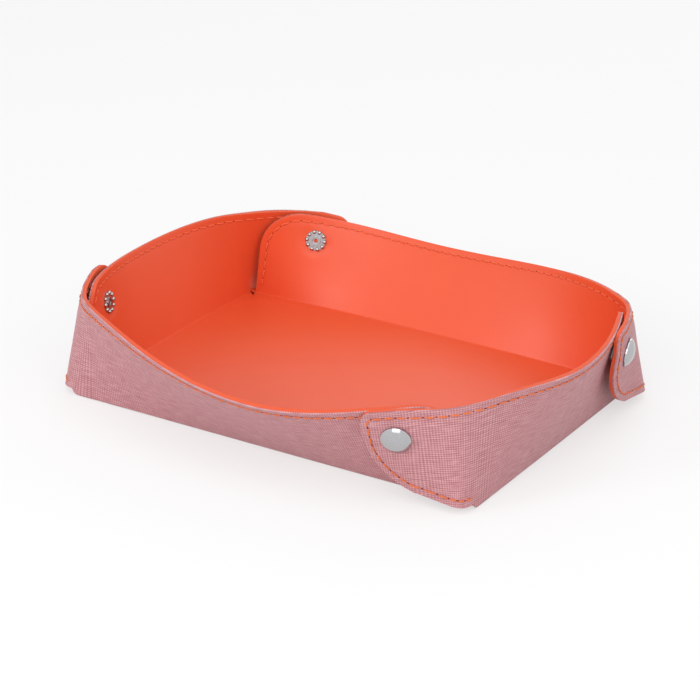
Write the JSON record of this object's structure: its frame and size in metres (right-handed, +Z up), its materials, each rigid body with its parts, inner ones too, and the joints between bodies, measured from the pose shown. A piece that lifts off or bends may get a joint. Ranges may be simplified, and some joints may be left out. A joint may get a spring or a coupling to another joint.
{
  "type": "valet tray",
  "caption": "Rectangular valet tray of stitched leather sheet: flared walls fold up from a flat base, and a flap wraps each corner and snaps to the next wall.",
  "frame": {"origin": "centre of the underside, where the tray rests", "axes": "+Z up, +X along the long side, -Y towards the front long wall"},
  "size_m": [0.2324, 0.191, 0.0458],
  "materials": {
    "outer_leather": "matte, cross-hatch emboss",
    "lining_leather": "satin, fine grain",
    "board": "matte greyboard",
    "thread": "twisted thread",
    "snap_metal": "polished",
    "spring_wire": "bare wire"
  },
  "bodies": {
    "base": {"base_skin": "outer_leather", "base_board": "board", "base_lining": "lining_leather"},
    "front_wall": {"front_wall_skin": "outer_leather", "front_wall_lining": "lining_leather", "front_wall_stitching": "thread", "front_wall_stud": "snap_metal", "front_wall_eyelet": "snap_metal"},
    "right_wall": {"right_wall_skin": "outer_leather", "right_wall_lining": "lining_leather", "right_wall_stitching": "thread", "right_wall_stud": "snap_metal", "right_wall_eyelet": "snap_metal"},
    "back_wall": {"back_wall_skin": "outer_leather", "back_wall_lining": "lining_leather", "back_wall_stitching": "thread", "back_wall_stud": "snap_metal", "back_wall_eyelet": "snap_metal"},
    "left_wall": {"left_wall_skin": "outer_leather", "left_wall_lining": "lining_leather", "left_wall_stitching": "thread", "left_wall_stud": "snap_metal", "left_wall_eyelet": "snap_metal"},
    "front_flap": {"front_flap_skin": "outer_leather", "front_flap_lining": "lining_leather", "front_flap_stitching": "thread", "front_flap_cap": "snap_metal", "front_flap_socket": "snap_metal", "front_flap_spring": "spring_wire"},
    "right_flap": {"right_flap_skin": "outer_leather", "right_flap_lining": "lining_leather", "right_flap_stitching": "thread", "right_flap_cap": "snap_metal", "right_flap_socket": "snap_metal", "right_flap_spring": "spring_wire"},
    "back_flap": {"back_flap_skin": "outer_leather", "back_flap_lining": "lining_leather", "back_flap_stitching": "thread", "back_flap_cap": "snap_metal", "back_flap_socket": "snap_metal", "back_flap_spring": "spring_wire"},
    "left_flap": {"left_flap_skin": "outer_leather", "left_flap_lining": "lining_leather", "left_flap_stitching": "thread", "left_flap_cap": "snap_metal", "left_flap_socket": "snap_metal", "left_flap_spring": "spring_wire"}
  },
  "joints": [
    {"name": "front_wall_fold", "type": "hinge", "parent": "base", "child": "front_wall", "pos_m": [0, -0.067, 0], "axis": [1, 0, 0], "range_deg": [0, 45]},
    {"name": "right_wall_fold", "type": "hinge", "parent": "base", "child": "right_wall", "pos_m": [0.1, 0, 0], "axis": [0, 1, 0], "range_deg": [0, 45]},
    {"name": "back_wall_fold", "type": "hinge", "parent": "base", "child": "back_wall", "pos_m": [0, 0.067, 0], "axis": [-1, 0, 0], "range_deg": [0, 45]},
    {"name": "left_wall_fold", "type": "hinge", "parent": "base", "child": "left_wall", "pos_m": [-0.1, 0, 0], "axis": [0, -1, 0], "range_deg": [0, 45]},
    {"name": "front_flap_fold", "type": "hinge", "parent": "front_wall", "child": "front_flap", "pos_m": [-0.10658, -0.06646, 0.00002], "axis": [0.1793, 0.0862, 0.98], "range_deg": [0, 99], "deforming": ["front_flap_spring"]},
    {"name": "right_flap_fold", "type": "hinge", "parent": "right_wall", "child": "right_flap", "pos_m": [0.09943, -0.0736, -0.00006], "axis": [-0.094, 0.1537, 0.9836], "range_deg": [0, 99], "deforming": ["right_flap_spring"]},
    {"name": "back_flap_fold", "type": "hinge", "parent": "back_wall", "child": "back_flap", "pos_m": [0.10658, 0.06646, 0.00002], "axis": [-0.1793, -0.0862, 0.98], "range_deg": [0, 99], "deforming": ["back_flap_spring"]},
    {"name": "left_flap_fold", "type": "hinge", "parent": "left_wall", "child": "left_flap", "pos_m": [-0.09943, 0.0736, -0.00006], "axis": [0.094, -0.1537, 0.9836], "range_deg": [0, 99], "deforming": ["left_flap_spring"]}
  ],
  "couplings": [
    {"joint": "right_wall_fold", "follows": "front_wall_fold", "ratio": 1},
    {"joint": "back_wall_fold", "follows": "front_wall_fold", "ratio": 1},
    {"joint": "left_wall_fold", "follows": "front_wall_fold", "ratio": 1},
    {"joint": "front_flap_fold", "follows": "front_wall_fold", "ratio": 2.2},
    {"joint": "right_flap_fold", "follows": "front_wall_fold", "ratio": 2.2},
    {"joint": "back_flap_fold", "follows": "front_wall_fold", "ratio": 2.2},
    {"joint": "left_flap_fold", "follows": "front_wall_fold", "ratio": 2.2}
  ]
}
